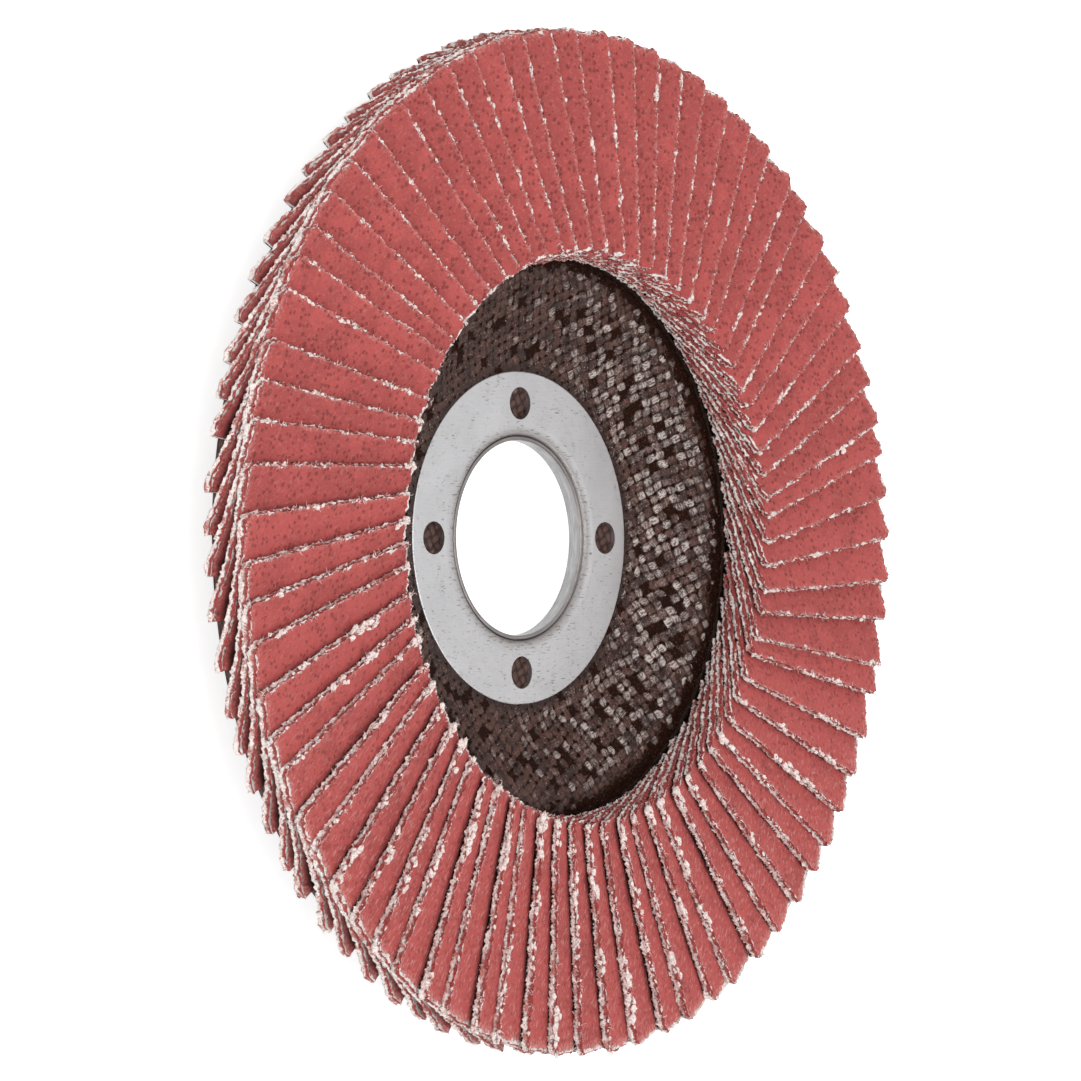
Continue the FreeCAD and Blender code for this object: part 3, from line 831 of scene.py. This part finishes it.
class DISC_OT_adhesive(bpy.types.Operator):
    """Finish the adhesive bed and add the bead at the foot of the flaps"""
    bl_idname = "flap_disc.adhesive"
    bl_label = "Adhesive"

    # Millimetres. The bead ends at its foot, just under the plate's face.
    bead_radius = 32.35
    bead_height = 6.2
    bead_foot = 6.02

    def execute(self, context):
        settings = context.scene.flap_disc_adhesive
        adhesive = adhesive_material(settings)
        dress("adhesive_bed", adhesive)
        deselect()
        bpy.ops.mesh.primitive_torus_add(
            major_segments=420, minor_segments=10, major_radius=self.bead_radius * MM,
            minor_radius=settings.bead, location=(0, 0, self.bead_height * MM))
        bead = bpy.context.object
        bead.name = "adhesive_bead"
        bpy.ops.object.transform_apply(location=True, rotation=False, scale=False)
        rough_up(bead, "bead_lumps", 0.9 * MM, 0.55 * MM)
        rough_up(bead, "bead_grain", 0.35 * MM, 0.22 * MM)
        apply_modifiers(bead)
        places = corners(bead.data)
        places[:, 2] = np.maximum(places[:, 2], self.bead_foot * MM)
        move_corners(bead.data, places)
        bead.data.materials.append(adhesive)
        bpy.ops.object.shade_smooth()
        carry(bead, "adhesive")
        return {"FINISHED"}


class DISC_OT_flaps(bpy.types.Operator):
    """Model one flap, lay copies of it round the disc and fray their edges"""
    bl_idname = "flap_disc.flaps"
    bl_label = "Abrasive flaps"

    # The flat flap, in millimetres: small cells in a rim at its edges, a bridge, a wide middle.
    cell = 0.26
    rim = 0.78
    bridge = 0.55
    middle_cells = (14, 9)
    thickness = 1.0

    # Millimetres: how far the back hangs at the outer end of the cut edge, the worn corners'
    # roundings, and the furthest that the cut reaches from the axis.
    droop = 0.42
    outer_round = 0.9
    inner_round = 0.6
    furthest = 57.48

    # The flaps reach furthest on one side, where the real disc was glued off centre.
    long_side = math.radians(-58.0)
    reach = 1.25 * MM
    reach_start = 2.0

    smooth_angle = math.radians(40)
    fibre_slot = 3

    def blank(self):
        """Flat flap, close-meshed at its four edges, with cut walls in four layers."""
        sheet = add_sheet("flap_blank", FLAP_LENGTH * MM, FLAP_SPAN * MM,
                          round(FLAP_LENGTH / self.cell), round(FLAP_SPAN / self.cell))
        half = np.array([FLAP_LENGTH / 2, FLAP_SPAN / 2])

        def depth(places):
            return (half - np.abs(places[:, :2]) / MM).min(axis=1)

        centres = read(sheet.data.polygons, "center", 3)
        edit_picked(sheet, "FACE", depth(centres) > self.rim)
        bpy.ops.mesh.delete(type="FACE")
        leave_edit()
        margin = 2 * (self.rim + self.bridge)
        join(sheet, add_sheet("flap_middle", (FLAP_LENGTH - margin) * MM,
                              (FLAP_SPAN - margin) * MM, *self.middle_cells))

        mesh = sheet.data
        inside = np.minimum(*[depth(ends) for ends in edge_ends(mesh)]) > self.rim * 0.5
        used = read(mesh.loops, "edge_index", kind=int)
        open_edges = np.bincount(used, minlength=len(mesh.edges)) == 1
        edit_picked(sheet, "EDGE", open_edges & inside)
        bpy.ops.mesh.bridge_edge_loops()
        bpy.ops.mesh.select_all(action="SELECT")
        bpy.ops.mesh.normals_make_consistent(inside=False)
        leave_edit()
        if mesh.polygons[0].normal.z < 0:
            edit_picked(sheet, "FACE", np.ones(len(mesh.polygons)))
            bpy.ops.mesh.flip_normals()
            leave_edit()

        wall = sheet.modifiers.new("cloth", "SOLIDIFY")
        wall.thickness = self.thickness * MM
        wall.offset = -1.0
        wall.material_offset = 1
        wall.material_offset_rim = 2
        for material in self.materials:
            mesh.materials.append(material)
        apply_modifiers(sheet)
        start, end = edge_ends(sheet.data)
        upright = np.hypot(*(start - end)[:, :2].T) < 0.01 * MM
        edit_picked(sheet, "EDGE", upright)
        bpy.ops.mesh.subdivide(number_cuts=3)
        leave_edit()
        return sheet

    def mark(self, sheet):
        """Say where each vertex lies in the flap, and how much it may fray."""
        flat = corners(sheet.data) / MM
        from_inner = flat[:, 0] + FLAP_LENGTH / 2
        from_edge = flat[:, 1] + FLAP_SPAN / 2
        ply = flat[:, 2] + self.thickness
        note(sheet.data, "lie", from_inner, from_edge, ply)
        to_cut = np.minimum.reduce([from_inner, FLAP_LENGTH - from_inner, from_edge])
        weigh(sheet, "fray", near(to_cut, 0.22) * np.interp(ply, [0.0, 0.5, 1.0],
                                                            [0.8, 1.0, 0.7]))
        weigh(sheet, "sway", near(to_cut, 1.5))
        return from_inner, from_edge, ply

    def bend(self, sheet, from_inner, from_edge, ply, settings):
        """Lay the flat flap on its slope: falling across, twisting outwards, bowed outside."""
        share = from_inner / FLAP_LENGTH
        to_outer = FLAP_LENGTH - from_inner
        tail = settings.tail / MM * share ** 3 * unit((from_edge - 12.4) / 3.0) ** 2
        across = from_edge - HALF_SPAN + tail
        fall = along_flap(share, TAN_INNER, TAN_OUTER)
        under = SEAT_HEIGHT + above(HALF_SPAN - across) * fall
        under = under + BOW * share * unit(1 - (across / HALF_SPAN) ** 2)
        # The back hangs lower along the cut edge, and the far outer corner drops.
        droop = self.droop * share ** 1.3 * unit(1 - from_edge / 5.0)
        under = under - droop
        under = under - 0.4 * unit((from_inner - 23.4) / 1.4) * unit((from_edge - 10.5) / 4.0)
        top = under + along_flap(share, UPRIGHT_INNER, UPRIGHT_OUTER) + droop
        # The back of the cloth stands off along the cut edges, which leaves a dark gap.
        gap = np.maximum.reduce([unit(1 - from_edge / 1.7) ** 1.4,
                                 0.85 * unit(1 - from_inner / 1.4) ** 1.4,
                                 0.35 * unit(1 - to_outer / 1.2) ** 1.4])
        gap = gap * unit((HALF_SPAN - across) / 1.5)
        under = under + gap * settings.lift / MM
        height = under + ply * (top - under)
        # The cloth stands out a little past the grain coat, and its back hangs behind.
        stand = np.interp(ply, [0.0, 0.25, 0.5, 0.75, 1.0], [-0.06, 0.05, 0.10, 0.02, -0.05])
        at_edge, at_inner, at_outer = [stand * near(far, 0.3)
                                       for far in (from_edge, from_inner, to_outer)]
        # The corners of the cut are worn round.
        worn = cut_off(self.outer_round, from_edge, to_outer)
        worn_inner = cut_off(self.inner_round, from_edge, from_inner)
        along = INNER_END + from_inner - at_inner + at_outer - worn + worn_inner
        side = across - at_edge + worn + worn_inner
        along = along - above(np.hypot(along, side) - self.furthest)
        move_corners(sheet.data, np.stack([along, side, height], axis=1) * MM)

    def finish_kind(self, piece):
        """Give a kind of fibre the flaps' materials, and the last of them on its faces."""
        piece.data.materials.clear()
        for material in self.materials:
            piece.data.materials.append(material)
        faces = piece.data.polygons
        faces.foreach_set("material_index", [self.fibre_slot] * len(faces))
        return piece

    def hair_kind(self):
        """Thin three-sided fibre along X, with a bend."""
        deselect()
        bpy.ops.mesh.primitive_cone_add(vertices=3, radius1=0.06 * MM, radius2=0.015 * MM,
                                        depth=1.0 * MM, location=(0.5 * MM, 0, 0),
                                        rotation=(0, math.pi / 2, 0))
        hair = bpy.context.object
        bpy.ops.object.transform_apply(location=True, rotation=True, scale=False)
        start, end = edge_ends(hair.data)
        edit_picked(hair, "EDGE", np.abs((start - end)[:, 0]) > 0.5 * MM)
        bpy.ops.mesh.subdivide(number_cuts=1)
        leave_edit()
        from_middle = np.abs(corners(hair.data)[:, 0] - 0.5 * MM)
        edit_picked(hair, "VERT", from_middle < 0.1 * MM)
        bpy.ops.transform.translate(value=(0, 0, 0.16 * MM))
        leave_edit()
        return self.finish_kind(hair)

    def clump_kind(self, index):
        """Small rough lump of fibre. Each is roughened at its own spot in the noise."""
        deselect()
        bpy.ops.mesh.primitive_uv_sphere_add(segments=7, ring_count=5, radius=1.0 * MM)
        clump = bpy.context.object
        away = index * 3 * MM
        clump.data.transform(Matrix.Translation((away, 0, 0)))
        rough_up(clump, "tuft_rough", 0.7 * MM, 1.7 * MM)
        apply_modifiers(clump)
        clump.data.transform(Matrix.Translation((-away, 0, 0)))
        return self.finish_kind(clump)

    def top_height(self, from_inner, across):
        """Height of the abrasive face."""
        share = from_inner / FLAP_LENGTH
        fall = along_flap(share, TAN_INNER, TAN_OUTER)
        upright = along_flap(share, UPRIGHT_INNER, UPRIGHT_OUTER)
        bow = BOW * share * (1 - (across / HALF_SPAN) ** 2)
        return SEAT_HEIGHT + (HALF_SPAN - across) * fall + upright + bow

    def lay(self, kind, x, y, z, *steps):
        """Copy of a fibre at a spot on the flap in hand; x counts from the flap's inner end."""
        place = (Matrix.Rotation(self.turn, 4, "Z")
                 @ Matrix.Translation(Vector((INNER_END + x, y, z)) * MM))
        for step in steps:
            place = place @ step
        piece = bpy.data.objects.new("fibre", kind.data.copy())
        bpy.context.collection.objects.link(piece)
        piece.data.transform(place)
        self.fibres.append(piece)

    def lay_clump(self, x, y, z, size):
        draws = self.draws
        steps = (Matrix.Rotation(draws.uniform(-0.35, 0.35), 4, "Z"),
                 Matrix.Rotation(draws.uniform(-0.6, 0.6), 4, "X"),
                 Matrix.Diagonal((*size, 1.0)))
        self.lay(draws.choice(self.clumps), x, y, z, *steps)

    def lay_hair(self, x, y, z, heading, climb, long):
        self.lay(self.hair, x, y, z, Matrix.Rotation(heading, 4, "Z"),
                 Matrix.Rotation(-climb, 4, "Y"),
                 Matrix.Rotation(self.draws.uniform(0, 6.28), 4, "X"),
                 Matrix.Diagonal((long, 0.75, 0.75, 1.0)))

    def tuft(self, lower):
        """Lumps of fibre drawn out along the cut edge or at its inner corner, with hairs."""
        draws = self.draws
        x = draws.uniform(0.6, FLAP_LENGTH - 0.6)
        big = draws.uniform(0.6, 1.0) * draws.choice((0.7, 1.0, 1.4)) * (1 + 0.3 * lower)
        if draws.random() < 0.28:
            x = draws.uniform(0.0, 0.5)
        drawn_out = draws.uniform(0.5, 1.1)
        for _ in range(7):
            spot = min(FLAP_LENGTH, max(0.0, x + draws.gauss(0, drawn_out) * big))
            y = CUT_EDGE + draws.gauss(0.06, 0.13) * big
            z = self.top_height(spot, CUT_EDGE) - draws.uniform(0.0, 0.30)
            size = [draws.uniform(low, high) * big
                    for low, high in ((0.18, 0.38), (0.11, 0.24), (0.11, 0.20))]
            self.lay_clump(spot, y, z, size)
        for _ in range(4):
            z = self.top_height(x, CUT_EDGE) - draws.uniform(0.0, 0.15)
            self.lay_hair(x + draws.gauss(0, 0.3), CUT_EDGE + 0.1, z,
                          draws.uniform(-math.pi, math.pi), draws.uniform(-0.15, 0.5),
                          draws.uniform(0.3, 0.7))

    def crumb(self):
        """Single lump of fibre on the cut edge."""
        draws = self.draws
        x = draws.uniform(0.2, FLAP_LENGTH - 0.2)
        y = CUT_EDGE + draws.uniform(-0.08, 0.16)
        z = self.top_height(x, CUT_EDGE) - draws.uniform(0.0, 0.45)
        size = [draws.uniform(low, high)
                for low, high in ((0.12, 0.34), (0.09, 0.18), (0.08, 0.16))]
        self.lay_clump(x, y, z, size)

    def edge_hair(self, lower):
        """Loose fibre on the cut edge, the outer end or the inner end."""
        draws = self.draws
        long = draws.uniform(0.18, 0.55)
        climb = draws.uniform(-0.25, 0.45)
        if draws.random() < 0.6:
            x = draws.uniform(0.1, FLAP_LENGTH - 0.1)
            y = CUT_EDGE + draws.uniform(-0.02, 0.1)
            heading = -math.pi / 2 + draws.gauss(0, 0.9)
            if draws.random() < 0.35:
                heading = -heading
            depth = draws.uniform(0.0, 0.6)
            long = long * (1.0 + 0.4 * lower)
        else:
            outer = draws.random() < 0.75
            x = FLAP_LENGTH - 0.35 if outer else 0.1
            y = CUT_EDGE + draws.uniform(0.0, 1.0) * (5.0 if outer else 2.6)
            heading = draws.gauss(0, 0.6) + (0.0 if outer else math.pi)
            long = long * (0.62 if outer else 0.8)
            depth = draws.uniform(0.0, 0.5)
        self.lay_hair(x, y, self.top_height(x, y) - depth, heading, climb, long)

    def loose_fibres(self, settings):
        """Tufts, crumbs and hairs of the flap in hand, more of them on the lower flaps."""
        lower = max(0.0, 0.25 - 0.95 * math.sin(self.turn + 0.15))
        for _ in range(settings.tufts + round(2 * lower)):
            self.tuft(lower)
        for _ in range(settings.crumbs):
            self.crumb()
        for _ in range(settings.hairs):
            self.edge_hair(lower)

    def reach_out(self, piece):
        """Stretch the flaps outwards on their long side."""
        places = corners(piece.data)
        radius = np.hypot(places[:, 0], places[:, 1])
        turn = np.arctan2(places[:, 1], places[:, 0])
        side = above(np.cos(turn - self.long_side)) ** 1.5
        start = INNER_END + self.reach_start
        share = unit((radius / MM - start) / (OUTER_END - start))
        places[:, :2] *= (1 + self.reach * side * share / radius)[:, None]
        move_corners(piece.data, places)

    def flap(self, blank, gap):
        """Copy of the blank, with how far each vertex lies under the next flap."""
        flap = bpy.data.objects.new("flap", blank.data.copy())
        bpy.context.collection.objects.link(flap)
        for group in blank.vertex_groups:
            flap.vertex_groups.new(name=group.name)
        x, y, _ = corners(flap.data).T / MM
        under = -x * math.sin(gap) + y * math.cos(gap) + HALF_SPAN
        note(flap.data, "cover", under, np.full(len(x), self.draws.random()), np.zeros(len(x)))
        draw_in = Matrix.Translation((-self.draws.uniform(0.0, 0.16) * MM, 0, 0))
        flap.data.transform(Matrix.Rotation(self.turn, 4, "Z") @ draw_in)
        return flap

    def execute(self, context):
        settings = context.scene.flap_disc_flaps
        self.materials = [grain_material(settings), cloth_back_material(settings),
                          cut_edge_material(settings), loose_fibre_material(settings)]
        blank = self.blank()
        self.bend(blank, *self.mark(blank), settings)
        self.clumps = [self.clump_kind(index) for index in range(6)]
        self.hair = self.hair_kind()

        draws = self.draws = random.Random(settings.seed)
        per_node = FLAP_COUNT // FLAP_NODES
        pitch = 2 * math.pi / FLAP_COUNT
        turns = [math.radians(FIRST_TURN) + index * pitch + draws.gauss(0.0, 1.0) * settings.spread
                 for index in range(FLAP_COUNT)]
        for node in range(FLAP_NODES):
            flaps = []
            self.fibres = []
            for index in range(node * per_node, (node + 1) * per_node):
                self.turn = turns[index]
                following = turns[(index + 1) % FLAP_COUNT]
                flaps.append(self.flap(blank, (following - self.turn) % (2 * math.pi)))
                self.loose_fibres(settings)
            join(*flaps)
            piece = flaps[0]
            piece.name = "flap_cloth_%02d" % (node + 1)
            rough_up(piece, "edge_sway", 2.6 * MM, 0.30 * MM, "sway")
            rough_up(piece, "edge_fray", 0.36 * MM, settings.fray * 2, "fray")
            apply_modifiers(piece)
            bpy.ops.object.shade_smooth_by_angle(angle=self.smooth_angle)
            join(piece, *self.fibres)
            piece.vertex_groups.clear()
            self.reach_out(piece)
            carry(piece, "abrasive_cloth", "flaps_%02d" % (node + 1))
        for spare in (blank, self.hair, *self.clumps):
            bpy.data.objects.remove(spare)
        return {"FINISHED"}


class DISC_OT_stage(bpy.types.Operator):
    """Pale floor, soft studio light and the camera"""
    bl_idname = "flap_disc.stage"
    bl_label = "Stage"

    floor_size = 6.0
    floor_glow = 0.64

    # Name, place, size and power. Each lamp points at the middle of the disc's back.
    lamps = (
        ("lamp_above", (-0.50, 0.08, 0.98), 0.5, 1.15),
        ("lamp_small", (-0.52, 0.00, 0.97), 0.14, 0.65),
        ("lamp_camera_side", (-0.95, -0.15, 0.50), 0.7, 3.6),
        ("lamp_far_side", (0.28, -0.30, 1.02), 0.5, 2.5),
    )

    camera_place = (-0.51884, -0.00370, 0.42844)
    camera_right = (0.63233, -0.00619, 0.77468)
    camera_up = (0.0, 0.99997, 0.00799)
    camera_back = (-0.77470, -0.00505, 0.63230)
    sensor_width = 36.0
    clip_end = 20.0

    def floor_material(self, settings):
        """Pale floor that the camera sees as white, with the shadow kept."""
        r = Recipe("pale_floor")
        r.finish(colour=settings.floor, roughness=0.9, gloss=0.1)
        lit = r.shader.outputs[0]
        glow = r.node("Emission", {"Color": WHITE, "Strength": self.floor_glow})
        both = r.node("AddShader", {0: lit, 1: glow.outputs[0]})
        r.show("Material Output", lit, both.outputs[0])
        return r.material

    def studio(self, settings):
        """Soft light all round; seen by the camera and in reflections it is white."""
        world = bpy.data.worlds.new("studio")
        world.use_nodes = True
        n = Nodes(world.node_tree)
        soft = n.node("Background", {"Color": WHITE, "Strength": settings.ambient})
        white = n.node("Background", {"Color": WHITE, "Strength": 1.0})
        n.show("World Output", soft.outputs[0], white.outputs[0])
        return world

    def lamp(self, name, place, size, power):
        deselect()
        bpy.ops.object.light_add(type="AREA", location=place)
        lamp = bpy.context.object
        lamp.name = name
        lamp.data.shape = "DISK"
        lamp.data.size = size
        lamp.data.energy = power
        lamp.rotation_euler = Vector(place).normalized().to_track_quat("Z", "Y").to_euler()

    def camera(self, settings):
        """The camera of the photo."""
        data = bpy.data.cameras.new("camera")
        data.lens = settings.lens
        data.sensor_width = self.sensor_width
        data.clip_end = self.clip_end
        camera = bpy.data.objects.new("camera", data)
        bpy.context.collection.objects.link(camera)
        place = Matrix((self.camera_right, self.camera_up, self.camera_back)).transposed()
        place = place.to_4x4()
        place.translation = Vector(self.camera_place)
        camera.matrix_world = place
        return camera

    def execute(self, context):
        settings = context.scene.flap_disc_stage
        deselect()
        bpy.ops.mesh.primitive_plane_add(size=self.floor_size, location=(0, 0, 0))
        floor = bpy.context.object
        floor.name = "floor"
        floor.data.materials.append(self.floor_material(settings))
        context.scene.world = self.studio(settings)
        for name, place, size, power in self.lamps:
            self.lamp(name, place, size, power * settings.lamps)
        context.scene.camera = self.camera(settings)
        context.scene.view_settings.view_transform = "Standard"
        return {"FINISHED"}


# ---------------------------------------------------------------------------
# Panel and registration
# ---------------------------------------------------------------------------

class DISC_PT_panel(bpy.types.Panel):
    """Sizes, colours and the steps that dress the disc"""
    bl_idname = "DISC_PT_panel"
    bl_label = "Flap disc"
    bl_space_type = "VIEW_3D"
    bl_region_type = "UI"
    bl_category = "Flap disc"

    def draw(self, context):
        for operator, key in STEPS:
            box = self.layout.box()
            settings = getattr(context.scene, key)
            for name in settings.__annotations__:
                box.prop(settings, name)
            box.operator(operator.bl_idname)


STEPS = [
    (DISC_OT_steel, "flap_disc_steel"),
    (DISC_OT_plate, "flap_disc_plate"),
    (DISC_OT_adhesive, "flap_disc_adhesive"),
    (DISC_OT_flaps, "flap_disc_flaps"),
    (DISC_OT_stage, "flap_disc_stage"),
]
CLASSES = list(SETTINGS.values()) + [operator for operator, _ in STEPS] + [DISC_PT_panel]


def register():
    for item in CLASSES:
        bpy.utils.register_class(item)
    for key, group in SETTINGS.items():
        setattr(bpy.types.Scene, key, PointerProperty(type=group))


def unregister():
    for key in SETTINGS:
        delattr(bpy.types.Scene, key)
    for item in reversed(CLASSES):
        bpy.utils.unregister_class(item)


def main():
    """Dress the disc."""
    register()
    bpy.ops.flap_disc.steel()
    bpy.ops.flap_disc.plate()
    bpy.ops.flap_disc.adhesive()
    bpy.ops.flap_disc.flaps()
    bpy.ops.flap_disc.stage()


if __name__ == "__main__":
    main()
